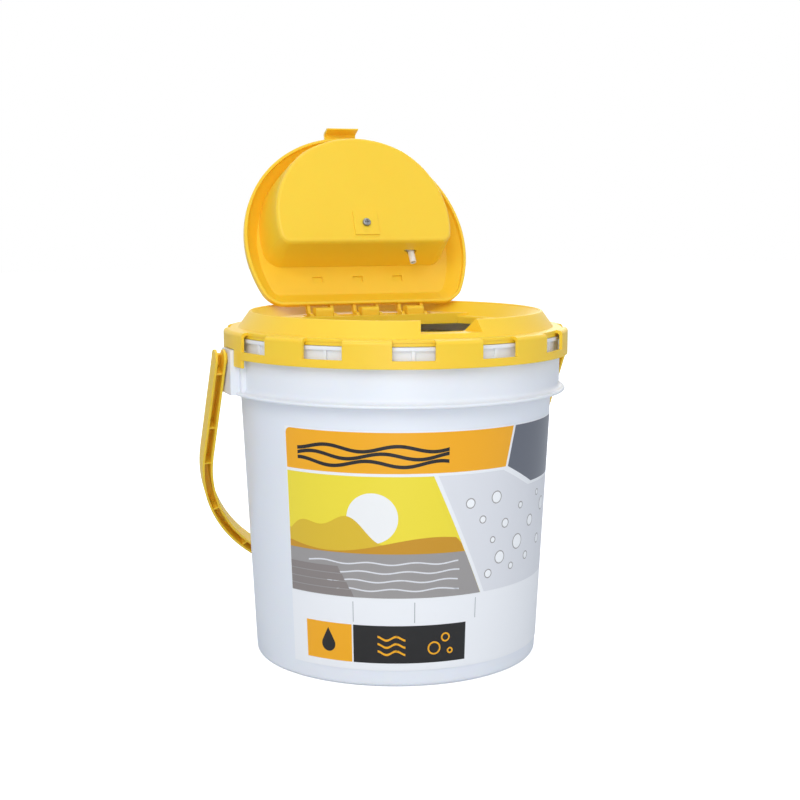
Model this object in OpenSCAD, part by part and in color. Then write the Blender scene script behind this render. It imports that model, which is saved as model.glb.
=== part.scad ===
// Aerated bait bucket: an insulated pail with a push-on lid ring, a hinged hatch that
// carries a battery air pump, and a bail handle. Z is up, the origin is at the middle of
// the pail's base, the latch notch faces -Y and the bail turns about the X direction.

/* [Pail] */
// Outer radius of the pail body at the base
body_r = 100.9; // [96:0.1:105]
// Growth of the body radius for each millimetre of height
body_taper = 0.051; // [0.04:0.001:0.055]
// Wall thickness of the pail
pail_wall = 2.4; // [1.8:0.1:3]
// Height of the floor's underside above the ground
floor_gap = 2.5; // [1.5:0.1:4]
// Thickness of the pail floor
floor_t = 2.6; // [2:0.1:4]
// Width of the foot ring that the pail stands on
foot_w = 5; // [3:0.5:8]
// Radius of the foot disc at the middle of the base
middle_foot_r = 16; // [8:1:30]
// Height of the flange ring's underside
flange_z = 189.6; // [180:0.1:192]
// How far the flange ring stands out from the collar
flange_out = 4.9; // [3:0.1:6]
// Thickness of the flange ring
flange_t = 2.6; // [2:0.1:4]
// Outer radius of the collar above the flange ring
collar_r = 115.5; // [114.5:0.1:116]
// How far the lip round the mouth stands out from the collar
lip_out = 2; // [1.6:0.1:2.4]
// Height of the mouth's top face
mouth_z = 229.2; // [228:0.1:229.6]
// Thickness of the lip round the mouth
lip_t = 2.5; // [2:0.1:3.5]

/* [Foam liner] */
// Wall thickness of the foam at the top
liner_wall = 17; // [12:0.5:19]
// Thickness of the foam floor
liner_floor = 14; // [8:0.5:20]
// Height of the foam's top face
liner_top = 221.5; // [212:0.5:224]
// Gap between the foam and the pail
liner_gap = 0.3; // [0.2:0.1:1]

/* [Ears and bail] */
// Height of the bail's pivots
pivot_z = 214.5; // [212:0.5:216]
// Distance from the collar to an ear's outer face
ear_out = 8.2; // [7.2:0.1:9]
// Half width of an ear's block
ear_half = 11.8; // [10:0.1:12]
// Radius of the bail's pivot studs
stud_r = 4; // [3:0.1:5]
// Radial running clearance of studs and knuckles
running = 0.05; // [0.03:0.01:0.1]
// Side gap between an ear and the bail's arm
arm_gap = 1.2; // [0.6:0.1:2]
// Thickness of the bail across its arm
bail_t = 7.6; // [6:0.1:9]
// Depth of the bail from front to back
bail_w = 13; // [10:0.5:16]
// Straight length of an arm before its bend
arm_len = 83; // [80:0.5:90]
// Wall thickness of the bail's channel
bail_wall = 1.6; // [1.2:0.1:2.2]
// Spacing of the cross ribs in the bail's channel
bail_rib_pitch = 48; // [30:1:60]

/* [Lid ring] */
// How far the skirt's outer face stands out from the pail's lip
skirt_out = 4.5; // [4.2:0.1:4.8]
// Wall thickness of the lid ring
ring_t = 2.2; // [1.8:0.1:2.6]
// Height of the skirt's lower edge
skirt_z = 215.5; // [214:0.1:217]
// Height of the shelf above the skirt
shelf_z = 234; // [233.5:0.1:234.5]
// Width of the shelf between the skirt and the cone
shelf_w = 10.4; // [9:0.1:12]
// Height of the bead round the top
bead_z = 245.2; // [244:0.1:247]
// Where the bead stands between the opening and the cone's foot, as a share of that width
bead_share = 0.683; // [0.6:0.01:0.75]
// Radius of the hatch opening
opening_r = 84.5; // [83:0.1:85]
// Height of the opening wall's lower edge
opening_z = 229.6; // [228:0.1:231]
// Distance from the crossbar's front face to the hinge axis
crossbar_gap = 9.8; // [9:0.1:10.2]
// Height of the crossbar and the hinge shelf
hinge_shelf_z = 237.3; // [236.5:0.1:238]
// Number of windows on each side between the ears
window_count = 6; // [4:1:6]
// Angle between windows
window_pitch = 28.5; // [26:0.5:29]
// Angle that one window spans
window_angle = 13.2; // [9:0.1:15]
// Height of the windows' lower edge
window_z = 220.8; // [219:0.1:223]
// Half angle of the latch notch at the bead
notch_angle = 13; // [11:0.5:14]
// Height of the latch notch's floor
notch_z = 236.9; // [236:0.1:238]

/* [Hatch] */
// How far the hatch's lip laps over the edge of the opening
hatch_lap = 3.5; // [2.5:0.1:4]
// Distance from the edge of the opening to the hinge axis
hinge_in = 24.5; // [23.5:0.1:25.5]
// Height of the hinge axis
hinge_z = 235.5; // [235.2:0.1:236]
// Angle to which the hatch opens
open_angle = 114.5; // [100:0.5:116]
// Distance from the hinge axis to the hatch's flat edge
flat_gap = 11; // [10.6:0.1:12]
// Corner radius of the hatch's flat edge
hatch_corner = 20; // [16:1:24]
// Height of the hatch's outer wall
hatch_wall_h = 5; // [4:0.5:6]
// Height of the hatch's top above its lip
hatch_h = 14; // [12:0.5:15]
// Wall thickness of the hatch
hatch_t = 2.2; // [1.8:0.1:2.6]
// Depth of the aerator pocket below the hatch's plate
pocket_depth = 36; // [35:0.5:38]
// Distance from the hatch's lip to the pocket's round side at its floor
pocket_in = 20; // [18:0.5:22]
// Draft of the pocket from floor to plate
pocket_draft = 5.5; // [3:0.5:6]
// Distance from the hatch's flat edge to the pocket's flat side at its floor
pocket_gap = 39.7; // [38:0.1:41]
// Radius of the pocket's two corners at its floor
pocket_corner = 9; // [8:0.5:12]
// Number of hinge leaves on the hatch
leaf_count = 6; // [6:2:6]
// Spacing of the hinge leaves
leaf_pitch = 17.9; // [17:0.1:18.5]
// Thickness of a hinge leaf
leaf_t = 2.4; // [2:0.1:3]
// Radius of the hinge knuckle studs
knuckle_r = 2; // [1.6:0.1:2.4]
// Width of the latch tab
tab_w = 25; // [16:1:28]
// How far the latch tab's outer face stands out from the hatch's lip
tab_out = 7.5; // [6:0.5:8]

/* [Aerator] */
// Gap between the aerator and its pocket
unit_gap = 0.6; // [0.3:0.1:1]
// Wall thickness of the aerator's shells
unit_wall = 1.8; // [1.4:0.1:2.2]
// Height of the aerator's cover above the hatch's plate
cover_rise = 6.5; // [6:0.5:9]
// Distance from the pocket's flat side to the seam between the two covers
seam_in = 11.9; // [10.5:0.1:13]
// Radius of a battery cell
cell_r = 16.6; // [16:0.1:17]
// Length of a battery cell
cell_len = 60.5; // [58:0.5:61.5]
// Radius of the motor
motor_r = 10; // [8:0.5:10.5]
// Length of the motor
motor_len = 22; // [18:1:24]
// Outer radius of the outlet nipple
nipple_r = 2.4; // [2:0.1:3]
// Bore radius of the outlet nipple
nipple_bore = 1.4; // [1:0.1:1.6]
// Distance from the motor to the outlet nipple, sideways
nipple_in = 7.5; // [6:0.5:9]
// Width of the rocker switch
switch_w = 10; // [9:0.5:10.5]
// Angle that the rocker tips
switch_tip = 12; // [8:1:14]

/* [Label] */
// Half angle that the label wraps
label_angle = 62; // [40:1:66]
// Height of the label's lower edge
label_z0 = 12; // [8:1:30]
// Height of the label's upper edge
label_z1 = 174; // [120:1:180]
// Thickness of the label
label_t = 0.25; // [0.2:0.05:0.4]

/* [Hidden] */

// Radii and distances of the lid's parts, each from the one outside it
flange_r = collar_r + flange_out;
lip_r = collar_r + lip_out;
ear_x = collar_r + ear_out;
skirt_r = lip_r + skirt_out;
cone_r = skirt_r - shelf_w;
bead_r = opening_r + bead_share * (cone_r - opening_r);
hatch_r = opening_r + hatch_lap;
hinge_y = opening_r - hinge_in;
crossbar_y = hinge_y - crossbar_gap;
tab_r = hatch_r + tab_out;
pocket_r = hatch_r - pocket_in;
pocket_flat = hinge_y - flat_gap - pocket_gap;
seam_y = pocket_flat - seam_in;
motor_x = pocket_r - 21.5;
nipple_x = motor_x - nipple_in;

// Radius of the pail body at a height
function wall_r(z) = body_r + body_taper * z;
// Points of an arc, from one angle to another
function arc(x, y, r, a0, a1, n = 6) =
    [for (i = [0:n]) [x + r * cos(a0 + (a1 - a0) * i / n), y + r * sin(a0 + (a1 - a0) * i / n)]];

// Round form with one flat side and two rounded corners. Each step is an offset of the whole
// outline and the height where it holds, from the bottom up. A corner's circle stands out by a
// small amount, so that it crosses the sides instead of only touching them.
crossing = 0.2;

module d_form(middle, reach, flat, corner, steps) {
    first = steps[0];
    last = steps[len(steps) - 1];
    corner_y = flat - corner + crossing;
    corner_x = sqrt(pow(reach - corner + crossing, 2) - pow(corner_y - middle, 2));
    tilt = atan2(corner_y - middle, corner_x);
    far = 2 * corner;
    difference() {
        intersection() {
            translate([0, middle, 0]) rotate_extrude($fn = 144) polygon(concat(
                [[0, first[1]]], [for (s = steps) [reach + s[0], s[1]]], [[0, last[1]]]));
            rotate([90, 0, 90]) translate([0, 0, -reach - 10]) linear_extrude(2 * reach + 20)
                polygon(concat([[middle - reach - 10, first[1]]],
                    [for (s = steps) [flat + s[0], s[1]]], [[middle - reach - 10, last[1]]]));
        }
        for (side = [0, 1]) mirror([side, 0, 0]) translate([corner_x, corner_y, 0]) difference() {
            translate([0, 0, first[1] - 1]) linear_extrude(last[1] - first[1] + 2) polygon([
                [0.3, 0.5], [far * cos(tilt), far * sin(tilt)], [far, far], [0, far]]);
            rotate_extrude($fn = 72) polygon(concat(
                [[0, first[1] - 2], [corner + first[0], first[1] - 2]],
                [for (s = steps) [corner + s[0], s[1]]],
                [[corner + last[0], last[1] + 2], [0, last[1] + 2]]));
        }
    }
}

floor_top = floor_gap + floor_t;
base_round = 3.5;
foot_r = wall_r(0) - base_round;
collar_in = collar_r - pail_wall;
yellow = [0.98, 0.78, 0.16];
white = [0.93, 0.94, 0.96];

// Angles of the windows, which leave out the two ears
window_angles = [for (side = [0, 180]) for (i = [0:window_count - 1])
    side - 90 + (i - (window_count - 1) / 2) * window_pitch];

module pail_profile() {
    polygon(concat(
        [[0, 0], [middle_foot_r, 0], [middle_foot_r + 0.8, floor_gap]],
        [[foot_r - foot_w - 0.8, floor_gap], [foot_r - foot_w, 0]],
        arc(foot_r, base_round, base_round, -90, 0, 5),
        [[wall_r(flange_z - 1.5), flange_z - 1.5], [wall_r(flange_z) + 1.2, flange_z]],
        arc(flange_r - flange_t / 2, flange_z + flange_t / 2, flange_t / 2, -90, 90, 6),
        arc(collar_r + 3, flange_z + flange_t + 3, 3, -90, -180, 4),
        [[collar_r, mouth_z - lip_t]],
        [[lip_r, mouth_z - lip_t], [lip_r, mouth_z - 0.6], [lip_r - 0.6, mouth_z]],
        [[collar_in, mouth_z], [collar_in, flange_z + 5]],
        [[wall_r(flange_z - 1) - pail_wall, flange_z - 1]],
        arc(wall_r(floor_top + 5) - pail_wall - 5, floor_top + 5, 5, 0, -90, 4),
        [[0, floor_top]]));
}

// Height of an ear's top face and of the gap under the skirt above it
ear_top = pivot_z + 6.5;
pad_x = lip_r;
pad_half = ear_half + 5.5;
bore_r = stud_r + running;
arm_in = ear_x + arm_gap;
bail_r = arm_in + bail_t;

module ear() {
    difference() {
        union() {
            translate([collar_in + 0.6, -pad_half, flange_z + 0.4])
                cube([pad_x - collar_in - 0.6, 2 * pad_half, ear_top - flange_z - 0.4]);
            translate([collar_in + 0.6, -ear_half, flange_z + 0.4])
                cube([ear_x - collar_in - 0.6, 2 * ear_half, ear_top - flange_z - 0.4]);
        }
        translate([collar_r + 0.6, -ear_half + pail_wall, flange_z - 1])
            cube([ear_x - collar_r - 0.6 - pail_wall, 2 * (ear_half - pail_wall),
                pivot_z - stud_r - 4 - flange_z]);
        translate([collar_r + 0.2, 0, pivot_z])
            rotate([0, 90, 0])
                cylinder(h = ear_x - collar_r + 1, r = bore_r, $fn = 48);
    }
}

module pail() {
    color(white) {
        rotate_extrude($fn = 144) pail_profile();
        for (side = [0, 180]) rotate(side) ear();
        for (a = window_angles) rotate(a)
            translate([collar_r - 0.6, -1.2, mouth_z - lip_t - 11])
                cube([lip_r - collar_r + 0.2, 2.4, 11.2]);
    }
}

// Foam liner: expanded foam cup that fills the space inside the pail's wall
liner_in_top = wall_r(flange_z) - pail_wall - liner_gap - liner_wall;
liner_in_low = wall_r(floor_top) - pail_wall - liner_gap - liner_wall + 2;

module foam_liner() {
    edge = wall_r(flange_z - 1) - pail_wall - liner_gap;
    color([0.95, 0.96, 0.97]) rotate_extrude($fn = 120) polygon(concat(
        [[0, floor_top]],
        arc(wall_r(floor_top + 6) - pail_wall - liner_gap - 6, floor_top + 6, 6, -90, 0, 4),
        [[edge, flange_z - 1]],
        [[collar_in - liner_gap, flange_z + 5 + liner_gap], [collar_in - liner_gap, liner_top]],
        [[liner_in_top + 2, liner_top], [liner_in_top, liner_top - 2]],
        arc(liner_in_low - 8, floor_top + liner_floor + 8, 8, 0, -90, 5),
        [[0, floor_top + liner_floor]]));
}

// Label: a printed film bonded to the pail's front
module label() {
    color([0.95, 0.68, 0.2]) rotate(-90 - label_angle)
        rotate_extrude(angle = 2 * label_angle, $fn = 144) polygon([
            [wall_r(label_z0), label_z0], [wall_r(label_z0) + label_t, label_z0],
            [wall_r(label_z1) + label_t, label_z1], [wall_r(label_z1), label_z1]]);
}

// Lid ring
ledge_z = hinge_z - 0.3;
seat_gap = 0.3;
bead_in = bead_r - 1.2;
skirt_round = 2.6;
underside = shelf_z - ring_t;
slope_low = hatch_r + 2.2;

// Top surface of the ring, from the opening out to the skirt's edge
function ring_top() = concat(
    [[opening_r, ledge_z - 0.8], [opening_r + 0.8, ledge_z], [slope_low, ledge_z]],
    arc(bead_r, bead_z - 1.3, 1.3, 165, 40, 5),
    [[cone_r, shelf_z]],
    arc(skirt_r - skirt_round, shelf_z - skirt_round - 0.4, skirt_round, 80, 0, 5));

// Section of the ring as if it were solid under its slopes
module ring_section() {
    polygon(concat(
        [[opening_r, opening_z]], ring_top(),
        [[skirt_r, skirt_z - tab_drop + 0.5], [skirt_r - 0.5, skirt_z - tab_drop]],
        [[skirt_r - ring_t, skirt_z - tab_drop]],
        [[skirt_r - ring_t, underside - 1.2], [skirt_r - ring_t - 1.2, underside]],
        [[lip_r - 0.6, underside], [lip_r - 0.6, mouth_z + seat_gap]],
        [[lip_r - 3, mouth_z + seat_gap], [lip_r - 3, underside]],
        [[opening_r + ring_t, underside], [opening_r + ring_t, opening_z]]));
}

// Hollow between the ring's top slopes
module ring_hollow() {
    polygon([[opening_r + ring_t, underside - 1], [opening_r + ring_t, ledge_z - ring_t],
        [slope_low + 0.6, ledge_z - ring_t], [bead_in, bead_z - ring_t - 1.1],
        [bead_r + 0.2, bead_z - ring_t - 1.1], [cone_r - 1.3, underside],
        [cone_r - 1.3, underside - 1]]);
}

// Plan of the latch notch, wider at the outside, grown on each side by a margin
module notch_plan(margin) {
    inner = opening_r - 1;
    half_in = tab_w / 2 + 3 + margin;
    half_out = cone_r * sin(notch_angle) - 1 + margin;
    polygon([[-half_in, -inner], [-half_in, -inner - 8], [-half_out, -cone_r - 2],
        [half_out, -cone_r - 2], [half_in, -inner - 8], [half_in, -inner]]);
}

trough_half = leaf_pitch * (leaf_count - 1) / 2 + leaf_t / 2 + 4;
trough_back = hinge_y + 7.6;
block_w = leaf_pitch - leaf_t - 2.4;
block_top = hinge_z + 7.6;
block_half = 5;

module hinge_blocks() {
    for (i = [0:leaf_count / 2 - 1])
        translate([(2 * i - leaf_count / 2 + 1) * leaf_pitch, hinge_y, 0])
            rotate([90, 0, 90])
                translate([0, 0, -block_w / 2]) linear_extrude(block_w) polygon(concat(
                    [[-block_half, hinge_z - 5], [block_half + 1.5, hinge_z - 5]],
                    arc(block_half - 2, block_top - 2, 2, 0, 90, 4),
                    arc(-block_half + 2, block_top - 2, 2, 90, 180, 4)));
}

module hinge_bore() {
    translate([-trough_half - 1, hinge_y, hinge_z]) rotate([0, 90, 0])
        cylinder(h = 2 * trough_half + 2, r = knuckle_r + running, $fn = 32);
}

module hinge_shelf() {
    intersection() {
        cylinder(h = 2 * bead_z, r = slope_low + 3, $fn = 144);
        union() {
            translate([-slope_low - 4, crossbar_y, hinge_shelf_z - ring_t])
                cube([2 * slope_low + 8, slope_low, ring_t]);
            intersection() {
                union() {
                    translate([-trough_half - ring_t, crossbar_y, opening_z])
                        cube([2 * (trough_half + ring_t), trough_back + ring_t - crossbar_y,
                            hinge_shelf_z - opening_z]);
                    translate([-opening_r, crossbar_y, opening_z])
                        cube([2 * opening_r, ring_t, hinge_shelf_z - opening_z]);
                }
                cylinder(h = 2 * bead_z, r = opening_r + ring_t / 2, $fn = 96);
            }
        }
    }
}

// The skirt hangs lower beside the ears, as two tabs at each
tab_drop = 5.7;
ear_slot = ear_half + 0.5;
ear_tab_w = 12.4;

module skirt_trim() {
    difference() {
        translate([0, 0, skirt_z - tab_drop - 2]) rotate_extrude($fn = 144)
            translate([skirt_r - ring_t - 1, 0]) square([ring_t + 3, tab_drop + 2]);
        for (dir = [-1, 1]) translate([-skirt_r - 5, dir > 0 ? ear_slot : -ear_slot - ear_tab_w,
            skirt_z - tab_drop - 3]) cube([2 * skirt_r + 10, ear_tab_w, tab_drop + 4]);
    }
}

module window_cut(a) {
    rotate(a - window_angle / 2)
        rotate_extrude(angle = window_angle, $fn = 144) polygon([
            [lip_r - 0.2, window_z], [skirt_r + 1, window_z],
            [skirt_r + 1, shelf_z + 1], [lip_r - 0.2, shelf_z + 1]]);
}

module lid_ring() {
    color(yellow) difference() {
        union() {
            difference() {
                rotate_extrude($fn = 144) ring_section();
                difference() {
                    rotate_extrude($fn = 144) ring_hollow();
                    translate([0, 0, underside - 2]) linear_extrude(20) notch_plan(ring_t);
                }
            }
            difference() {
                hinge_shelf();
                translate([-trough_half, crossbar_y + ring_t, opening_z + ring_t])
                    cube([2 * trough_half, trough_back - crossbar_y - ring_t, 20]);
            }
            hinge_blocks();
        }
        translate([0, 0, notch_z]) linear_extrude(20) notch_plan(0);
        translate([-tab_w / 2 - 1, -tab_r - 1.2, opening_z - 1])
            cube([tab_w + 2, hatch_t + 2.4, 20]);
        for (a = window_angles) window_cut(a);
        for (side = [0, 180]) rotate(side)
            translate([lip_r + 0.6, -ear_slot, skirt_z - 10])
                cube([10, 2 * ear_slot, ear_top + 0.7 - skirt_z + 10]);
        skirt_trim();
        hinge_bore();
    }
}

// Hatch, modelled shut and then turned open about its hinge
lip_z = hinge_z;
plate_z = lip_z + hatch_h;
flat_y = hinge_y - flat_gap;
pocket_floor = plate_z - hatch_t - pocket_depth;

module opened() {
    translate([0, hinge_y, hinge_z]) rotate([-open_angle, 0, 0])
        translate([0, -hinge_y, -hinge_z]) children();
}

cone_in = hatch_h - hatch_wall_h;

module hatch_shell() {
    difference() {
        d_form(0, hatch_r, flat_y, hatch_corner, [[-0.5, lip_z], [0, lip_z + 0.5],
            [-0.2, lip_z + hatch_wall_h], [-cone_in, plate_z - 0.8], [-cone_in - 1.4, plate_z]]);
        d_form(0, hatch_r, flat_y, hatch_corner, [[-hatch_t, lip_z - 0.1],
            [-hatch_t - 0.2, lip_z + hatch_wall_h - 1.2],
            [-cone_in - 1.6, plate_z - hatch_t - 1], [-cone_in - 3, plate_z - hatch_t]]);
    }
}

// The pocket's form: a drafted D, bounded at the front by the hatch's own circle. Blocks of it
// are grown on all sides by one amount.
pocket_mid = pocket_flat - 19;
pocket_slope = pocket_draft / (plate_z - pocket_floor);
front_draft = 2;
front_r = hatch_r - cone_in - 0.8 - front_draft;
front_slope = front_draft / (plate_z - pocket_floor);

function pocket_steps(grow, slope, z_low, z_high) =
    let (base = grow + slope * (z_low - pocket_floor)) [
        [base - 2.2, z_low], [base - 1, z_low + 0.35], [base - 0.3, z_low + 1.1],
        [base + slope * 2.4, z_low + 2.4], [grow + slope * (z_high - pocket_floor), z_high]];

module front_limit(steps) {
    rotate_extrude($fn = 144) polygon(concat([[0, steps[0][1]]],
        [for (s = steps) [front_r + s[0], s[1]]], [[0, steps[len(steps) - 1][1]]]));
}

module pocket_solid(grow, z_low, z_high) {
    intersection() {
        d_form(pocket_mid, pocket_r, pocket_flat, pocket_corner,
            pocket_steps(grow, pocket_slope, z_low, z_high));
        front_limit(pocket_steps(grow, front_slope, z_low, z_high));
    }
}

module hinge_leaves() {
    for (i = [0:leaf_count - 1]) {
        x = (i - (leaf_count - 1) / 2) * leaf_pitch;
        inward = i % 2 == 0 ? 1 : -1;
        translate([x, 0, 0]) rotate([90, 0, 90]) translate([0, 0, -leaf_t / 2])
            linear_extrude(leaf_t) union() {
                translate([hinge_y, hinge_z]) circle(r = 3.6, $fn = 32);
                polygon([[hinge_y + 1.6, hinge_z + 3.2], [hinge_y - 3.5, hinge_z + 0.8],
                    [crossbar_y + 4, hinge_shelf_z + 0.8], [flat_y - 1.2, hinge_shelf_z + 0.8],
                    [flat_y - 1.2, lip_z + hatch_wall_h + 2.2],
                    [flat_y + 3, lip_z + hatch_wall_h + 2.2]]);
            }
        translate([x, hinge_y, hinge_z]) rotate([0, inward * 90, 0])
            cylinder(h = leaf_t / 2 + 6, r = knuckle_r, $fn = 32);
    }
}

tab_top = lip_z + 8.6;
tab_foot = lip_z - 3;

module latch_tab() {
    translate([-tab_w / 2, 0, 0]) rotate([90, 0, 90]) linear_extrude(tab_w) polygon(concat(
        [[-hatch_r + 4, tab_top - hatch_t - 0.3], [-tab_r + hatch_t + 1.2, tab_top - hatch_t]],
        [[-tab_r + hatch_t, tab_top - hatch_t - 1.2]],
        [[-tab_r + hatch_t - 0.4, tab_foot], [-tab_r + 0.8, tab_foot]],
        [[-tab_r, tab_foot + 2]],
        arc(-tab_r + 2.4, tab_top - 2.4, 2.4, 180, 90, 4),
        [[-hatch_r + 4, tab_top]]));
}

screw_bite = 4.2;
screw_y = pocket_flat - 15;
screw_pad = 19;
pad_rise = 0.9;

module hatch() {
    color(yellow) opened() difference() {
        union() {
            hatch_shell();
            pocket_solid(0, pocket_floor, plate_z - 1);
            translate([-screw_pad / 2, screw_y - screw_pad / 2, pocket_floor - pad_rise])
                cube([screw_pad, screw_pad, pad_rise + 0.5]);
            hinge_leaves();
            latch_tab();
        }
        pocket_solid(-hatch_t, pocket_floor + hatch_t, plate_z + 0.1);
        translate([0, screw_y, pocket_floor - 2]) cylinder(h = 6, r = 2.1, $fn = 32);
        outlet_place() translate([0, 0, -6]) outlet_hole();
        for (i = [-1:1]) translate([i * 32 - 4, flat_y - 26.5, plate_z - hatch_t - 0.1])
            cube([8, 4.6, 1.7]);
    }
}

// The outlet comes out of the pocket's flat side, square to the slanted wall
outlet_z = pocket_floor + 17;
outlet_tilt = atan(pocket_slope);
outlet_y = pocket_flat + pocket_slope * 17;

module outlet_place() {
    translate([nipple_x, outlet_y, outlet_z])
        rotate([-90 - outlet_tilt, 0, 0]) children();
}

module outlet_hole() {
    linear_extrude(14) polygon([[-7.4, 3.4], [1.0, -5], [3.6, -5], [3.6, 4], [-6.2, 4.8]]);
}

// Aerator, modelled in the shut hatch: a tub in the pocket, a fixed cover and a battery cover
unit_low = pocket_floor + hatch_t;
unit_top = plate_z + cover_rise;
unit_grow = -hatch_t - unit_gap;
tub_floor = unit_low + unit_wall;
seam_gap = 0.3;
post_places = [[-26, pocket_flat - 5.1], [22, pocket_flat - 5.1]];
post_r = 2.4;
post_low = plate_z - 5.2;
partition_x = cell_len / 2 + 4.2;

module unit_block(grow, z_low) {
    pocket_solid(grow, z_low, plate_z - 0.02);
}

module partitions() {
    intersection() {
        for (side = [-1, 1])
            translate([side * partition_x - 0.7, cell_rows[0] - cell_r - 0.6, unit_low])
                cube([1.4, 3 * cell_r + 12.2, plate_z - unit_low - 2]);
        unit_block(unit_grow - 0.4, unit_low);
    }
}

// Ribs across the tub's floor, hollowed to carry the cells
module cradles() {
    difference() {
        for (x = [-18, 18]) translate([x - 0.8, cell_rows[0] - 9, unit_low + 0.5])
            cube([1.6, cell_rows[1] - cell_rows[0] + 18, cell_lift + 8]);
        for (y = cell_rows) translate([-cell_len / 2, y, cell_z]) rotate([0, 90, 0])
            cylinder(h = cell_len, r = cell_r + 0.02, $fn = 64);
    }
}

module aerator_base() {
    color(white) opened() difference() {
        union() {
            difference() {
                unit_block(unit_grow, unit_low);
                pocket_solid(unit_grow - unit_wall, tub_floor, plate_z + 0.1);
            }
            partitions();
            cradles();
            translate([0, screw_y, unit_low])
                cylinder(h = unit_wall + cell_lift - 0.2, r = 3.4, $fn = 32);
            for (p = post_places) {
                translate([p[0], p[1], post_low])
                    cylinder(h = unit_top - unit_wall - post_low, r = post_r, $fn = 32);
                translate([p[0] - 0.8, p[1], post_low]) cube([1.6, 6.4, 4.7]);
            }
        }
        translate([0, screw_y, unit_low - 1]) cylinder(h = screw_bite + 1.4, r = 1.4, $fn = 24);
        for (p = post_places) translate([p[0], p[1], post_low + 1])
            cylinder(h = 20, r = 1.3, $fn = 24);
        outlet_place() translate([0, 0, -12]) cylinder(h = 24, r = nipple_r + 0.1, $fn = 32);
    }
}

// Block of the covers' form, on the tub's outline at the plate
function cover_steps(grow, z_low, z_top) = [[grow, z_low], [grow - 0.6, z_top - 2.2],
    [grow - 1.6, z_top - 0.7], [grow - 3.4, z_top]];

module cover_block(inset, z_low, z_top) {
    intersection() {
        d_form(pocket_mid, pocket_r, pocket_flat, pocket_corner,
            cover_steps(pocket_draft + unit_grow - inset, z_low, z_top));
        front_limit(cover_steps(front_draft + unit_grow - inset, z_low, z_top));
    }
}

module cover_shell(z_low) {
    difference() {
        cover_block(0, z_low, unit_top);
        cover_block(unit_wall, z_low - 0.1, unit_top - unit_wall);
    }
}

switch_x = 20 - pocket_r;
switch_y = pocket_flat - 5.7;
switch_l = 1.56 * switch_w;
bezel = 0.9;

module aerator_cover() {
    color(white) opened() difference() {
        intersection() {
            cover_shell(plate_z);
            translate([-hatch_r, seam_y, plate_z]) cube([2 * hatch_r, hatch_r, 2 * cover_rise]);
        }
        translate([switch_x - switch_l / 2, switch_y - switch_w / 2, plate_z - 1])
            cube([switch_l, switch_w, 30]);
        for (p = post_places) translate([p[0], p[1], unit_top - 1.2])
            cylinder(h = 3, r = 2.9, $fn = 32);
        for (p = post_places) translate([p[0], p[1], unit_top - 3])
            cylinder(h = 3, r = 1.5, $fn = 24);
    }
}

module battery_cover() {
    color(white) opened() difference() {
        intersection() {
            cover_shell(plate_z + seam_gap);
            translate([-hatch_r, seam_y - seam_gap - 2 * hatch_r, plate_z])
                cube([2 * hatch_r, 2 * hatch_r, 2 * cover_rise]);
        }
        translate([-14, 10.2 - front_r, unit_top - 0.8]) cube([28, 14, 3]);
    }
}

// Rocker switch: a housing that drops into the cover and a rocker on two trunnions
switch_in_l = switch_l - 2 * bezel;
switch_in_w = switch_w - 2 * bezel;
rocker_z = unit_top - 2.4;
rocker_half = switch_in_l / 2 - 0.6;
trunnion_r = 1;

module switch_housing() {
    color([0.1, 0.1, 0.11]) opened() translate([switch_x, switch_y, 0]) difference() {
        union() {
            translate([-switch_l / 2, -switch_w / 2, unit_top - 11])
                cube([switch_l, switch_w, 11]);
            translate([-switch_l / 2 - 0.9, -switch_w / 2 - 0.6, unit_top])
                cube([switch_l + 1.8, switch_w + 1.2, 0.8]);
            for (i = [-1, 1]) translate([i * 4 - 0.4, -2, unit_top - 15])
                cube([0.8, 4, 4.5]);
        }
        translate([-switch_in_l / 2, -switch_in_w / 2, unit_top - 8.5])
            cube([switch_in_l, switch_in_w, 12]);
        translate([0, switch_w / 2 + 1, rocker_z]) rotate([90, 0, 0])
            cylinder(h = switch_w + 2, r = trunnion_r + running, $fn = 24);
    }
}

module rocker_switch() {
    color([0.12, 0.12, 0.13]) opened() translate([switch_x, switch_y, rocker_z])
        rotate([0, switch_tip / 2, 0]) rotate([90, 0, 0]) union() {
            width = switch_in_w - 0.5;
            translate([0, 0, -width / 2]) linear_extrude(width) polygon([
                [-rocker_half + 1.4, -3.2], [rocker_half - 1.4, -3.2],
                [rocker_half, 2.6], [rocker_half - 0.3, 3.6], [0, 3.1],
                [-rocker_half + 0.3, 3.6], [-rocker_half, 2.6]]);
            translate([0, 0, -switch_w / 2 + 0.1])
                cylinder(h = switch_w - 0.2, r = trunnion_r, $fn = 24);
        }
}

// Two cells side by side, with leaf contacts at one end and plates at the other
cell_lift = 4.2;
cell_z = tub_floor + cell_lift + cell_r;
cell_rows = [pocket_flat - 22.9 - 2 * cell_r, pocket_flat - 22.3];

module battery_cells() {
    color([0.2, 0.22, 0.25]) opened()
        for (i = [0, 1]) translate([0, cell_rows[i], cell_z]) rotate([0, i == 0 ? 90 : -90, 0]) {
            nub = 1.3;
            translate([0, 0, -cell_len / 2]) cylinder(h = cell_len - nub, r = cell_r, $fn = 64);
            translate([0, 0, cell_len / 2 - nub]) cylinder(h = nub, r = 4.7, $fn = 32);
        }
}

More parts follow.
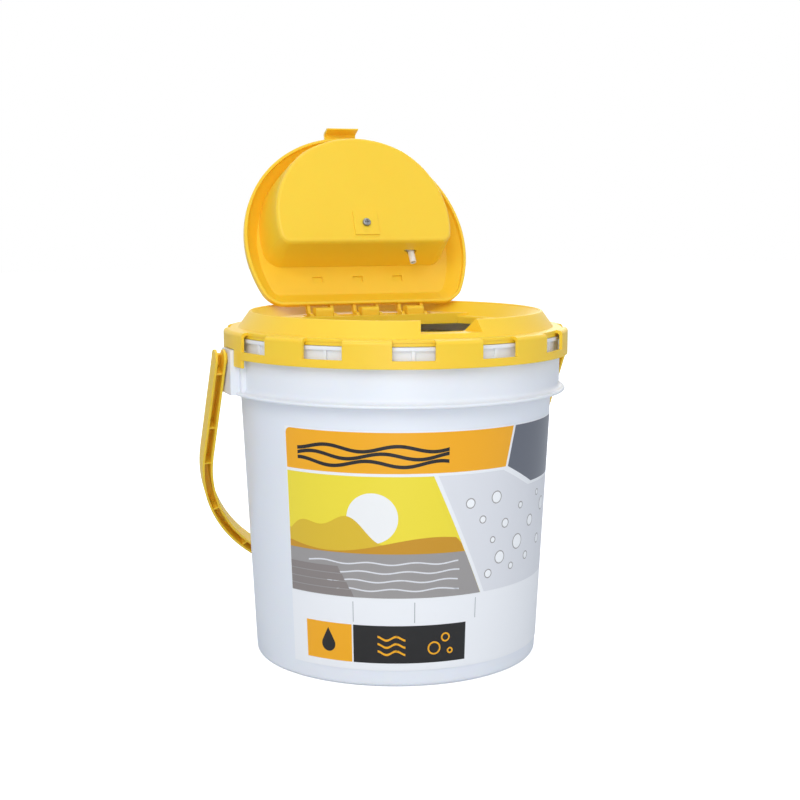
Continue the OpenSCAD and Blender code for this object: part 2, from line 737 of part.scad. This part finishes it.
module contact_springs() {
    color([0.8, 0.8, 0.78]) opened()
        for (i = [0, 1]) translate([0, cell_rows[i], cell_z]) rotate([0, 0, i == 0 ? 180 : 0]) {
            wall = partition_x - 0.7;
            tip = cell_len / 2;
            half = 0.72 * cell_r;
            width = 0.6 * cell_r;
            translate([0, width / 2, 0]) rotate([90, 0, 0]) linear_extrude(width) difference() {
                polygon([[wall, -half], [wall, half], [wall - 0.5, half], [wall - 0.5, 6.4],
                    [tip, 1], [tip, -1], [wall - 0.5, -6.4], [wall - 0.5, -half]]);
                polygon([[wall - 0.5, -5.4], [tip + 0.6, -0.6], [tip + 0.6, 0.6],
                    [wall - 0.5, 5.4]]);
            }
        }
}

module contact_plates() {
    color([0.8, 0.8, 0.78]) opened()
        for (i = [0, 1]) translate([0, cell_rows[i], cell_z]) rotate([0, 0, i == 0 ? 0 : 180])
            translate([cell_len / 2, -0.42 * cell_r, -0.6 * cell_r])
                cube([partition_x - 0.7 - cell_len / 2, 0.84 * cell_r, 1.2 * cell_r]);
}

// Air pump: a motor turns an eccentric, whose rod works a rubber diaphragm in the head
motor_y = pocket_flat - 49.3;
motor_z = tub_floor + motor_r + 0.6;
crank_y = motor_y + motor_len + 5;
crank_w = 3.6;
crank_r = 2.6;
crank_throw = 0.8;
rod_bore = crank_r + crank_throw + 0.4;
head_low = plate_z - 9;
shaft_r = 0.9;

module motor() {
    color([0.75, 0.76, 0.78]) opened() translate([motor_x, motor_y, motor_z]) difference() {
        union() {
            rotate([-90, 0, 0]) cylinder(h = motor_len, r = motor_r, $fn = 48);
            translate([0, motor_len, 0]) rotate([-90, 0, 0]) cylinder(h = 1.6, r = 3, $fn = 32);
            translate([-5, 2, -motor_r - 0.6]) cube([10, motor_len - 4, 3]);
        }
        translate([0, motor_len - 12, 0]) rotate([-90, 0, 0])
            cylinder(h = 20, r = shaft_r + running, $fn = 24);
    }
}

module motor_rotor() {
    color([0.6, 0.6, 0.62]) opened() translate([motor_x, 0, motor_z]) union() {
        translate([0, motor_y + motor_len - 11, 0]) rotate([-90, 0, 0])
            cylinder(h = crank_y + crank_w + 1 - motor_y - motor_len + 11, r = shaft_r, $fn = 24);
        translate([0, crank_y, crank_throw]) rotate([-90, 0, 0])
            cylinder(h = crank_w, r = crank_r, $fn = 32);
    }
}

pump_half = 8;
pump_y = crank_y + crank_w / 2;

module pump_rod_plan() {
    difference() {
        union() {
            circle(r = rod_bore + 1.6, $fn = 48);
            translate([-1.6, 0]) square([3.2, head_low - 2.4 - motor_z]);
        }
        circle(r = rod_bore, $fn = 48);
    }
}

module pump_diaphragm() {
    color([0.25, 0.25, 0.26]) opened() union() {
        translate([motor_x, pump_y + 1.4, motor_z]) rotate([90, 0, 0])
            linear_extrude(2.8) pump_rod_plan();
        translate([motor_x, pump_y, head_low - 2.6]) cylinder(h = 2.6, r = 6.4, $fn = 48);
    }
}

module pump_head() {
    color([0.85, 0.86, 0.88]) opened() union() {
        translate([motor_x - pump_half, pump_y - pump_half, head_low])
            cube([2 * pump_half, 2 * pump_half, 7]);
        translate([nipple_x - 2.6, pump_y + pump_half - 1, head_low + 0.9])
            cube([motor_x - nipple_x + 2.6, port_y + 3.6 - pump_y - pump_half, 5.2]);
        translate([nipple_x, port_y, head_low - 5]) cylinder(h = 9, r = port_r, $fn = 32);
    }
}

module pump_body() {
    color([0.3, 0.32, 0.36]) opened() difference() {
        union() {
            translate([motor_x - pump_half, pump_y - pump_half + 1.2, tub_floor])
                cube([2, 2 * pump_half - 1.2, head_low - tub_floor]);
            translate([motor_x + pump_half - 2, pump_y - pump_half + 1.2, tub_floor])
                cube([2, 2 * pump_half - 1.2, head_low - tub_floor]);
            translate([motor_x - pump_half, pump_y - pump_half + 1.2, head_low - 1.6])
                cube([2 * pump_half, 2 * pump_half - 1.2, 1.6]);
        }
        translate([motor_x, pump_y, head_low - 5]) cylinder(h = 10, r = 6.7, $fn = 48);
    }
}

elbow_reach = 11.5;
port_y = outlet_y - elbow_reach * cos(outlet_tilt);
port_r = 1.7;
tube_r = 2.9;
nipple_len = 8.5;
elbow = [nipple_x, port_y, outlet_z + elbow_reach * sin(outlet_tilt)];
// Inner face of the tub's wall where the nipple's flange seats, measured from the outlet
nipple_seat = -(hatch_t + unit_gap + unit_wall) / cos(outlet_tilt) - 0.15;

// Air tube: soft tube from the pump's port down to the nipple's inner end
module air_tube() {
    color([0.85, 0.87, 0.88, 0.6]) opened() difference() {
        union() {
            translate(elbow) cylinder(h = head_low - 1 - elbow[2], r = tube_r, $fn = 32);
            translate(elbow) sphere(r = tube_r + 0.3, $fn = 48);
            outlet_place() translate([0, 0, -elbow_reach])
                cylinder(h = elbow_reach - 6.4, r = tube_r, $fn = 32);
        }
        translate(elbow) cylinder(h = 20, r = port_r + 0.05, $fn = 24);
        outlet_place() translate([0, 0, -elbow_reach + 1])
            cylinder(h = 10, r = nipple_r + 0.05, $fn = 24);
    }
}

module outlet_nipple() {
    color(white) opened() outlet_place() difference() {
        union() {
            translate([0, 0, -8]) cylinder(h = nipple_len + 8, r = nipple_r, $fn = 48);
            translate([0, 0, nipple_seat - 1.6])
                cylinder(h = 1.6, r = nipple_r + 1.6, $fn = 48);
        }
        translate([0, 0, -9]) cylinder(h = nipple_len + 12, r = nipple_bore, $fn = 32);
    }
}

module retaining_screw() {
    color([0.75, 0.76, 0.78]) opened() translate([0, screw_y, pocket_floor - pad_rise]) union() {
        rotate([180, 0, 0]) difference() {
            rotate_extrude($fn = 48) polygon(concat(
                [[0, 0], [3.1, 0]], arc(2, 1, 1.1, 0, 80, 4), [[0, 2.2]]));
            for (a = [0, 90]) rotate(a) translate([-1.7, -0.35, 1.1]) cube([3.4, 0.7, 2]);
        }
        cylinder(h = pad_rise + hatch_t + screw_bite, r = 1.35, $fn = 24);
    }
}

module cover_screws() {
    color([0.7, 0.71, 0.73]) opened() for (p = post_places) translate([p[0], p[1], unit_top]) {
        difference() {
            translate([0, 0, -1.2]) cylinder(h = 1.2, r = 2.6, $fn = 32);
            for (a = [0, 90]) rotate(a) translate([-1.5, -0.3, -0.7]) cube([3, 0.6, 2]);
        }
        translate([0, 0, post_low + 2.3 - unit_top])
            cylinder(h = unit_top - post_low - 3.3, r = 1.25, $fn = 24);
    }
}

// Lead: a wire swept along hand chosen points
module lead(points) {
    wire_r = 0.7;
    sides = 8;
    last = len(points) - 1;
    rings = [for (i = [0:last])
        let(t = points[min(i + 1, last)] - points[max(i - 1, 0)],
            u = cross(t, [0.61, 0.37, 0.7]), v = cross(t, u))
        for (k = [0:sides - 1]) points[i] + wire_r * (cos(k * 360 / sides) * u / norm(u)
            + sin(k * 360 / sides) * v / norm(v))];
    polyhedron(rings, concat(
        [[for (k = [0:sides - 1]) k]], [[for (k = [sides - 1:-1:0]) last * sides + k]],
        [for (i = [0:last - 1]) for (k = [0:sides - 1])
            let(a = i * sides + k, b = i * sides + (k + 1) % sides) [a, a + sides, b + sides, b]]));
}

lead_low = unit_top - 17.6;
lead_top = unit_top - 5.4;
lead_y = pocket_flat - 9.3;

module red_lead() {
    color([0.75, 0.1, 0.08]) opened() lead([
        [switch_x + 4, switch_y, unit_top - 15.1], [switch_x + 4, switch_y, lead_low],
        [-partition_x - 4, lead_y - 3, lead_low - 2],
        [-partition_x - 3.6, cell_rows[1] + 3, lead_low - 2],
        [-partition_x - 2.4, cell_rows[1] + 1, lead_low - 2],
        [-partition_x - 0.9, cell_rows[1] + 1, lead_low - 2]]);
}

module black_lead() {
    color([0.08, 0.08, 0.09]) opened() lead([
        [switch_x - 4, switch_y, unit_top - 15.1], [switch_x - 4, switch_y, lead_low],
        [switch_x - 2, lead_y - 6, lead_low], [switch_x + 6, lead_y - 8, lead_top - 3],
        [-partition_x, lead_y, lead_top], [partition_x, lead_y, lead_top],
        [nipple_x + 1, lead_y - 4, lead_top],
        [motor_x - 2, motor_y + 16, lead_top], [motor_x - 1, motor_y - 4, lead_top - 6],
        [motor_x, motor_y - 4.5, motor_z + 4], [motor_x, motor_y - 0.1, motor_z + 4]]);
}

// Bail: a channel section handle, modelled flat and hung from its pivots
bail_reach = arm_len + bail_r - bail_t;
half_w = bail_w / 2;
lean_a = bail_reach + body_taper * half_w;
lean_b = body_taper * bail_reach - half_w;
lean_c = body_r + body_taper * pivot_z + 0.35;
bail_lean = asin(lean_c / norm([lean_a, lean_b])) - atan2(lean_b, lean_a);
bail_floor = 2;

// Channel section of the bail, open to one side
module bail_section() {
    inner = bail_r - bail_t;
    polygon([[inner, -half_w], [inner, half_w - 0.8], [inner + 0.8, half_w],
        [bail_r - 0.8, half_w], [bail_r, half_w - 0.8], [bail_r, -half_w],
        [bail_r - bail_wall, -half_w], [bail_r - bail_wall, half_w - bail_floor],
        [inner + bail_wall, half_w - bail_floor], [inner + bail_wall, -half_w]]);
}

rib_t = 1.4;
arc_step = bail_rib_pitch / bail_r * 180 / PI;

module bail_ribs() {
    for (side = [-1, 1], i = [0:floor((arm_len - 10) / bail_rib_pitch)])
        translate([side * (bail_r - bail_t / 2), 10 + i * bail_rib_pitch, 0])
            translate([-bail_t / 2 + 0.4, -rib_t / 2, -half_w + 1.5])
                cube([bail_t - 0.8, rib_t, bail_w - 2.5]);
    for (a = [arc_step / 2:arc_step:180]) translate([0, arm_len, 0]) rotate(a)
        translate([bail_r - bail_t + 0.4, -rib_t / 2, -half_w + 1.5])
            cube([bail_t - 0.8, rib_t, bail_w - 2.5]);
}

module bail_handle() {
    color(yellow) translate([0, 0, pivot_z]) rotate([bail_lean - 90, 0, 0]) union() {
        translate([0, arm_len, 0]) rotate_extrude(angle = 180, $fn = 160) bail_section();
        for (side = [0, 1]) mirror([side, 0, 0]) {
            translate([0, arm_len, 0]) rotate([90, 0, 0]) linear_extrude(arm_len) bail_section();
            for (x = [bail_r - bail_t, bail_r - bail_wall]) translate([x, 0, 0])
                rotate([0, 90, 0]) cylinder(h = bail_wall, r = half_w - 0.2, $fn = 48);
            translate([collar_r + 1.2, 0, 0]) rotate([0, 90, 0])
                cylinder(h = arm_in - collar_r - 0.4, r = stud_r, $fn = 48);
        }
        bail_ribs();
    }
}

pail();
foam_liner();
label();
lid_ring();
hatch();
aerator_base();
aerator_cover();
battery_cover();
rocker_switch();
switch_housing();
battery_cells();
contact_springs();
contact_plates();
motor();
motor_rotor();
pump_body();
pump_diaphragm();
pump_head();
air_tube();
outlet_nipple();
cover_screws();
retaining_screw();
red_lead();
black_lead();
bail_handle();
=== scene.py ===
"""Aerated bait bucket: a foam lined pail, a push-on lid ring, an open hatch with an air pump."""
import math

import bmesh
import bpy
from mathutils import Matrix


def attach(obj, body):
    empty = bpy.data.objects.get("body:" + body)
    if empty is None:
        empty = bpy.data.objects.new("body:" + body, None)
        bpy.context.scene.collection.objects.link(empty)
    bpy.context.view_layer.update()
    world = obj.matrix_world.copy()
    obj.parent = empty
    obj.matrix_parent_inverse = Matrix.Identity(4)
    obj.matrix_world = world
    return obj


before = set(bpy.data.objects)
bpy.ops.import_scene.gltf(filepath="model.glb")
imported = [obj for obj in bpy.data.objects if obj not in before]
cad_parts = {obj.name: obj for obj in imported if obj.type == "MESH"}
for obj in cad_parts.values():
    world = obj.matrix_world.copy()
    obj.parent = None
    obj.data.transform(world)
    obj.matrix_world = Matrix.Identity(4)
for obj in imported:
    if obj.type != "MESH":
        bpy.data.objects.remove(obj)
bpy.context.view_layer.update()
MM = 0.001

# Camera: a long lens a little above the rim, turned to the left of the pail's front.
camera_data = bpy.data.cameras.new("camera")
camera_data.lens = 66.2
camera_data.sensor_width = 36.0
camera_data.shift_x = 0.0054
camera = bpy.data.objects.new("camera", camera_data)
camera.location = (-0.3546, -0.9849, 0.320)
camera.rotation_euler = (math.radians(90.0 - 7.62), 0.0, math.radians(-19.8))
bpy.context.scene.collection.objects.link(camera)
bpy.context.scene.camera = camera


# Studio: a pale paper sweep under soft panels, as for a catalogue picture.
# The sweep and the world show white to the eye, and the world also in gloss and through clear
# plastic. A dim sky fills the shadows that the panels leave.
def linear(code):
    """Turns an sRGB hex colour into the linear colour that the shaders take."""
    parts = [int(code[i:i + 2], 16) / 255 for i in (1, 3, 5)]
    return tuple(p / 12.92 if p <= 0.04045 else ((p + 0.055) / 1.055) ** 2.4
                 for p in parts) + (1.0,)


def add(tree, kind, sockets=None, **settings):
    """Adds one shader node with its settings; a socket's value may be another node's output."""
    made = tree.nodes.new("ShaderNode" + kind)
    for name, setting in settings.items():
        setattr(made, name, setting)
    for name, value in (sockets or {}).items():
        if isinstance(value, bpy.types.NodeSocket):
            tree.links.new(value, made.inputs[name])
        else:
            made.inputs[name].default_value = value
    return made


bpy.context.scene.view_settings.view_transform = "Standard"
world = bpy.data.worlds.new("studio")
bpy.context.scene.world = world
world.use_nodes = True
world.node_tree.nodes.clear()
sky_path = add(world.node_tree, "LightPath")
seen = add(world.node_tree, "Math", operation="MAXIMUM",
           sockets={0: sky_path.outputs["Is Camera Ray"], 1: sky_path.outputs["Is Glossy Ray"]})
seen = add(world.node_tree, "Math", operation="MAXIMUM",
           sockets={0: seen.outputs[0], 1: sky_path.outputs["Is Transmission Ray"]})
dim = add(world.node_tree, "Background", {"Color": linear("#DDE3EC"), "Strength": 0.62})
white = add(world.node_tree, "Background", {"Color": (1, 1, 1, 1), "Strength": 1.0})
sky = add(world.node_tree, "MixShader",
          {0: seen.outputs[0], 1: dim.outputs[0], 2: white.outputs[0]})
add(world.node_tree, "OutputWorld", {"Surface": sky.outputs[0]})

sweep_mesh = bpy.data.meshes.new("paper_sweep")
sweep_mesh.from_pydata([(-6, -6, 0), (6, -6, 0), (6, 6, 0), (-6, 6, 0)], [], [(0, 1, 2, 3)])
sweep = bpy.data.objects.new("paper_sweep", sweep_mesh)
bpy.context.scene.collection.objects.link(sweep)
paper = bpy.data.materials.new("white_paper")
paper.use_nodes = True
paper.node_tree.nodes.clear()
paper_path = add(paper.node_tree, "LightPath")
paper_matt = add(paper.node_tree, "BsdfDiffuse", {"Color": linear("#D6D9DD")})
paper_glow = add(paper.node_tree, "Emission", {"Color": (1, 1, 1, 1), "Strength": 0.84})
paper_lit = add(paper.node_tree, "AddShader",
                {0: paper_matt.outputs[0], 1: paper_glow.outputs[0]})
paper_seen = add(paper.node_tree, "MixShader",
                 {0: paper_path.outputs["Is Camera Ray"], 1: paper_matt.outputs[0],
                  2: paper_lit.outputs[0]})
add(paper.node_tree, "OutputMaterial", {"Surface": paper_seen.outputs[0]})
sweep_mesh.materials.append(paper)

for name, place, aim, size, power in (
        ("key_panel", (-1.1, -1.5, 1.5), (0, 0, 0.15), 1.2, 16.5),
        ("front_panel", (-0.6, -1.9, 0.25), (0, 0.1, 0.25), 0.9, 9.0),
        ("fill_panel", (1.5, -1.2, 0.9), (0, 0, 0.15), 1.4, 4.5),
        ("back_panel", (0.9, 1.7, 1.1), (0, 0, 0.15), 1.2, 8.0),
        ("top_panel", (0.0, 0.2, 1.9), (0, 0, 0.2), 1.2, 7.0)):
    lamp_data = bpy.data.lights.new(name, "AREA")
    lamp_data.size = size
    lamp_data.energy = power
    lamp = bpy.data.objects.new(name, lamp_data)
    lamp.location = place
    offset = [a - p for a, p in zip(aim, place)]
    lamp.rotation_euler = (math.atan2(math.hypot(offset[0], offset[1]), -offset[2]), 0.0,
                           math.atan2(-offset[0], offset[1]))
    bpy.context.scene.collection.objects.link(lamp)


# Lid ring, hatch and bail: polypropylene, injection moulded in one yellow batch.
# The mould's fine spark texture makes it satin, and thin walls glow a little at their edges.
def moulded_plastic(name, colour, shade, roughness, grain, depth, scatter):
    """Moulded plastic whose texture has the given grain and depth in millimetres."""
    mat = bpy.data.materials.new(name)
    mat.use_nodes = True
    tree = mat.node_tree
    surface = tree.nodes["Principled BSDF"]
    place = add(tree, "TexCoord").outputs["Object"]
    flow = add(tree, "TexNoise", {"Vector": place, "Scale": 1000 / 70, "Detail": 3.0})
    tint = add(tree, "Mix", {"Factor": flow.outputs[0], 6: linear(colour), 7: linear(shade)},
               data_type="RGBA")
    spark = add(tree, "TexNoise", {"Vector": place, "Scale": 1000 / grain, "Detail": 2.0})
    rough = add(tree, "MapRange", {"Value": spark.outputs[0], "To Min": roughness - 0.04,
                                   "To Max": roughness + 0.04})
    edge = add(tree, "Bevel", {"Radius": 0.4 * MM}, samples=4)
    texture = add(tree, "Bump", {"Height": spark.outputs[0], "Strength": 0.6,
                                 "Distance": depth * MM, "Normal": edge.outputs[0]})
    for socket, value in (("Base Color", tint.outputs[2]), ("Roughness", rough.outputs[0]),
                          ("Normal", texture.outputs[0])):
        tree.links.new(value, surface.inputs[socket])
    surface.inputs["IOR"].default_value = 1.49
    surface.inputs["Subsurface Weight"].default_value = scatter
    surface.inputs["Subsurface Radius"].default_value = (1.0, 0.6, 0.25)
    surface.inputs["Subsurface Scale"].default_value = 3.0 * MM
    return mat


def dress(mat, *nodes):
    """Puts one finish on every slot of the named CAD nodes."""
    for name in nodes:
        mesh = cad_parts[name].data
        mesh.materials.clear()
        mesh.materials.append(mat)


dress(moulded_plastic("yellow_polypropylene", "#FDD338", "#FBCC2E", 0.40, 0.7, 0.03, 0.35),
      "lid_ring", "hatch", "bail_handle")

# Pail: high density polyethylene, glossier than the lid and slightly translucent.
dress(moulded_plastic("white_polyethylene", "#EDF0F5", "#E9ECF2", 0.34, 1.6, 0.02, 0.12),
      "pail")

# Aerator shells and nozzle: white ABS with a fine matt texture.
dress(moulded_plastic("white_abs", "#EFEFEC", "#EBEBE7", 0.45, 0.5, 0.03, 0.0),
      "aerator_base", "aerator_cover", "battery_cover", "outlet_nipple")

# Switch: black nylon, and the pump's body and head: grey acetal, all moulded and matt.
dress(moulded_plastic("black_nylon", "#1B1B1D", "#171719", 0.42, 0.5, 0.03, 0.0),
      "rocker_switch", "switch_housing")
dress(moulded_plastic("grey_acetal", "#5B6067", "#565B62", 0.5, 0.6, 0.03, 0.0),
      "pump_body", "pump_head")

# Diaphragm, lead jackets and air tube: soft rubber and vinyl, each of one plain colour.
dress(moulded_plastic("black_rubber", "#1E1F20", "#1A1B1C", 0.7, 0.5, 0.04, 0.0),
      "pump_diaphragm", "black_lead")
dress(moulded_plastic("red_vinyl", "#B3201A", "#A81C17", 0.45, 0.5, 0.02, 0.0), "red_lead")
dress(moulded_plastic("clear_vinyl", "#D5DADB", "#CED4D6", 0.25, 0.9, 0.02, 0.3), "air_tube")


# Foam liner: expanded polystyrene, beads of 3 to 4 mm pressed together in a steam mould.
# The bead outlines show as a fine net of shallow grooves, and a darker grey laid into the grooves
# is painted shade.
foam = bpy.data.materials.new("bead_foam")
foam.use_nodes = True
foam_tree = foam.node_tree
foam_place = add(foam_tree, "TexCoord").outputs["Object"]
beads = add(foam_tree, "TexVoronoi", {"Vector": foam_place, "Scale": 1000 / 3.6},
            feature="DISTANCE_TO_EDGE")
groove = add(foam_tree, "MapRange", {"Value": beads.outputs[0], "From Max": 0.12})
# painted shade: the grooves between beads are mixed towards the darker grey, beside the bump that
# dents them
groove_shaded_tint = add(foam_tree, "Mix", {"Factor": groove.outputs[0], 6: linear("#D9DBDE"),
                                   7: linear("#F5F6F7")}, data_type="RGBA")
foam_bump = add(foam_tree, "Bump", {"Height": groove.outputs[0], "Strength": 0.6,
                                    "Distance": 0.25 * MM})
foam_face = foam_tree.nodes["Principled BSDF"]
foam_tree.links.new(groove_shaded_tint.outputs[2], foam_face.inputs["Base Color"])
foam_tree.links.new(foam_bump.outputs[0], foam_face.inputs["Normal"])
foam_face.inputs["Roughness"].default_value = 0.75
foam_face.inputs["Subsurface Weight"].default_value = 0.15
foam_face.inputs["Subsurface Radius"].default_value = (1.0, 1.0, 1.0)
foam_face.inputs["Subsurface Scale"].default_value = 2.0 * MM
dress(foam, "foam_liner")


# Screws, contacts, motor can and cell jackets: plated, drawn or painted steel.
# Fine drawing lines run along one direction and blur the reflections that way.
def drawn_steel(name, colour, roughness, line, metallic=1.0):
    """Steel with lines of the given spacing in millimetres."""
    mat = bpy.data.materials.new(name)
    mat.use_nodes = True
    tree = mat.node_tree
    surface = tree.nodes["Principled BSDF"]
    place = add(tree, "TexCoord").outputs["Object"]
    stretch = add(tree, "Mapping", {"Vector": place, "Scale": (0.06, 1.0, 1.0)})
    lines = add(tree, "TexNoise", {"Vector": stretch.outputs[0], "Scale": 1000 / line,
                                   "Detail": 4.0})
    rough = add(tree, "MapRange", {"Value": lines.outputs[0], "To Min": roughness - 0.07,
                                   "To Max": roughness + 0.07})
    bump = add(tree, "Bump", {"Height": lines.outputs[0], "Strength": 0.3,
                              "Distance": 0.01 * MM})
    tree.links.new(rough.outputs[0], surface.inputs["Roughness"])
    tree.links.new(bump.outputs[0], surface.inputs["Normal"])
    surface.inputs["Base Color"].default_value = linear(colour)
    surface.inputs["Metallic"].default_value = metallic
    return mat


dress(drawn_steel("zinc_plated_steel", "#8E9093", 0.35, 0.3), "retaining_screw", "cover_screws")
dress(drawn_steel("nickel_strip", "#B9B5AA", 0.3, 0.2), "contact_springs", "contact_plates")
dress(drawn_steel("motor_can_steel", "#A9ABAE", 0.32, 0.3), "motor", "motor_rotor")
dress(drawn_steel("cell_jacket_steel", "#22303D", 0.35, 0.4, 0.0), "battery_cells")


# Label: a printed film on the pail's front. The film is the CAD sheet; each flat of ink is
# laid a few hundredths of a millimetre above it and follows the pail's cone. Sizes are in
# millimetres, and x runs round the pail from the label's middle.
BODY_R, BODY_TAPER, FILM = 100.9, 0.051, 0.25
HALF_ANGLE, FILM_LOW, FILM_HIGH = 62.0, 12.0, 174.0
MID_R = BODY_R + BODY_TAPER * (FILM_LOW + FILM_HIGH) / 2 + FILM
HALF_W = math.radians(HALF_ANGLE) * MID_R
INK_STEP, INK_COAT, MARGIN = 2.5, 0.03, 0.8


def printed_film(name, colour):
    """Printed polypropylene film: flat colour under a thin glossy varnish."""
    mat = bpy.data.materials.new(name)
    mat.use_nodes = True
    tree = mat.node_tree
    surface = tree.nodes["Principled BSDF"]
    place = add(tree, "TexCoord").outputs["Object"]
    waves = add(tree, "TexNoise", {"Vector": place, "Scale": 1000 / 18, "Detail": 1.0})
    bump = add(tree, "Bump", {"Height": waves.outputs[0], "Strength": 0.25,
                              "Distance": 0.06 * MM})
    tree.links.new(bump.outputs[0], surface.inputs["Normal"])
    surface.inputs["Base Color"].default_value = linear(colour)
    surface.inputs["Roughness"].default_value = 0.3
    surface.inputs["IOR"].default_value = 1.49
    return mat


def arc_points(x, y, radius, first, last, count):
    """Points on an arc of the flat label, in millimetres and degrees."""
    return [(x + radius * math.cos(math.radians(first + (last - first) * i / count)),
             y + radius * math.sin(math.radians(first + (last - first) * i / count)))
            for i in range(count + 1)]


def ink(mesh, outline, slot, layer):
    """Lays one closed outline of the flat label onto the cone, in strips that bend with it."""
    flat = bmesh.new()
    flat.faces.new([flat.verts.new((x, y, 0)) for x, y in outline])
    bmesh.ops.triangulate(flat, faces=flat.faces[:], ngon_method="EAR_CLIP")
    low = min(x for x, y in outline)
    high = max(x for x, y in outline)
    cut = math.ceil(low / INK_STEP) * INK_STEP
    while cut < high:
        bmesh.ops.bisect_plane(flat, geom=flat.verts[:] + flat.edges[:] + flat.faces[:],
                               plane_co=(cut, 0, 0), plane_no=(1, 0, 0))
        cut += INK_STEP
    lift = FILM + INK_COAT + INK_COAT * layer
    moved = {}
    for corner in flat.verts:
        angle = corner.co.x / MID_R
        radius = BODY_R + BODY_TAPER * corner.co.y + lift
        moved[corner] = mesh.verts.new((radius * math.sin(angle) * MM,
                                        -radius * math.cos(angle) * MM, corner.co.y * MM))
    for face in flat.faces:
        made = mesh.faces.new([moved[corner] for corner in face.verts])
        made.material_index = slot
        made.smooth = True
        made.normal_update()
        if made.normal.dot(made.calc_center_median()) < 0:
            made.normal_flip()
    flat.free()


inks = ("band_orange", "panel_grey", "ink_black", "sky_yellow", "hill_far", "hill_near",
        "water_grey", "field_pale", "bubble_white", "rule_grey", "sun_white", "plank_grey")
ink_colours = ("#F7AE14", "#666A74", "#1E1D1D", "#F3DF3A", "#E0BC2C", "#CC9420",
               "#9E9A98", "#E2E3E7", "#F9FAFB", "#A3A6AA", "#F4F4F2", "#8B8380")
ORANGE, GREY, BLACK, SKY, FAR, NEAR, WATER, FIELD, BUBBLE, RULE, SUN, PLANK = range(len(inks))
print_mesh = bmesh.new()
left, right, high = -HALF_W + MARGIN, HALF_W - MARGIN, FILM_HIGH - MARGIN

# The head band, with one round corner, and the slanted grey panel at its end
ink(print_mesh, arc_points(left + 4, high - 4, 4, 180, 90, 6)
    + [(48, high), (42, 146), (left, 146)], ORANGE, 0)
ink(print_mesh, [(50, high), (right, high), (right, 132), (72, 132), (44, 146)], GREY, 0)
for step in range(3):
    crest = [(x, 163.5 - 5 * step + 1.9 * math.sin(x / 7.5 + 1.3 * step))
             for x in range(-104, -1, 2)]
    ink(print_mesh, crest + [(x, y - 2.4) for x, y in reversed(crest)], BLACK, 1)

# Two picture fields: a lake with planks under hills and a low sun, and rising air bubbles
ink(print_mesh, [(left, 144), (-12, 144), (24, 62), (left, 62)], SKY, 0)
ink(print_mesh, arc_points(-52, 116, 17, 0, 354, 59), SUN, 1)
hills = [(x, 106 + 9 * math.sin(x / 17) + 4 * math.sin(x / 6.1)) for x in range(-112, -3, 2)]
ink(print_mesh, [(left, 90), (left, hills[0][1])] + hills + [(6.0, 101), (10.2, 90)], FAR, 2)
shore = [(x, 98 + 5 * math.sin(x / 23 + 2)) for x in range(-112, 6, 2)]
ink(print_mesh, [(left, 90), (left, shore[0][1])] + shore + [(8.0, 98), (11.2, 90)], NEAR, 3)
ink(print_mesh, [(left, 62), (left, 92), (10.7, 92), (23.8, 62)], WATER, 4)
for step in range(4):
    y = 86 - 6 * step
    crest = [(x, y + 0.8 * math.sin(x / 5 + step)) for x in range(-98 + 7 * step, 8, 2)]
    ink(print_mesh, crest + [(x, v - 1.0) for x, v in reversed(crest)], FIELD, 5)
for step in range(4):
    y = 82.5 - 5.2 * step
    ink(print_mesh, [(left, y - 4.6), (-74 + 3 * step, y - 4.6), (-76 + 3 * step, y), (left, y)],
        PLANK, 6)
ink(print_mesh, [(-9, 144), (40, 144), (68, 130), (right, 130), (right, 62), (27, 62)], FIELD, 0)
for x, y, size in ((30, 74, 3.2), (40, 84, 4.6), (33, 97, 2.4), (52, 76, 2.6), (58, 92, 5.4),
                   (44, 107, 3.4), (70, 80, 3.0), (24, 112, 2.8), (74, 104, 4.2), (60, 117, 2.6),
                   (14, 124, 3.6), (35, 126, 4.4), (90, 88, 3.6), (96, 112, 5.0), (84, 122, 2.4)):
    ink(print_mesh, arc_points(x, y, size, 0, 348, 29), WATER, 1)
    ink(print_mesh, arc_points(x, y, size - 0.7, 0, 345, 23), BUBBLE, 2)

# Rules between the plain fields, and the foot strip with its drop, waves and bubbles
for x in (-66, -24, 20):
    ink(print_mesh, [(x, 45), (x + 0.5, 45), (x + 0.5, 59), (x, 59)], RULE, 0)
ink(print_mesh, [(-102, 17), (-67, 17), (-67, 43), (-102, 43)], ORANGE, 0)
ink(print_mesh, [(-66, 17), (13, 17), (13, 43), (-66, 43)], BLACK, 0)
ink(print_mesh, arc_points(-84.5, 28, 5.2, 150, 390, 20) + [(-84.5, 39.5)], BLACK, 1)
for step in range(3):
    crest = [(x / 2, 35 - 5 * step + 1.3 * math.sin(x / 4.2)) for x in range(-98, -58, 2)]
    ink(print_mesh, crest + [(x, y - 1.5) for x, y in reversed(crest)], ORANGE, 1)
for x, y, size in ((-10, 27, 4.6), (-2, 34, 3.2), (1.5, 24.5, 2.2)):
    ink(print_mesh, arc_points(x, y, size, 0, 348, 29), ORANGE, 1)
    ink(print_mesh, arc_points(x, y, size - 1.1, 0, 345, 23), BLACK, 2)

print_data = bpy.data.meshes.new("label_print")
print_mesh.to_mesh(print_data)
print_mesh.free()
print_data.normals_split_custom_set_from_vertices(
    [(corner.co.x / math.hypot(corner.co.x, corner.co.y),
      corner.co.y / math.hypot(corner.co.x, corner.co.y), -BODY_TAPER)
     for corner in print_data.vertices])
for name, colour in zip(inks, ink_colours):
    print_data.materials.append(printed_film(name, colour))
label_print = bpy.data.objects.new("label_print", print_data)
bpy.context.scene.collection.objects.link(label_print)
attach(label_print, "pail_body")
dress(printed_film("film_white", "#F3F4F6"), "label")
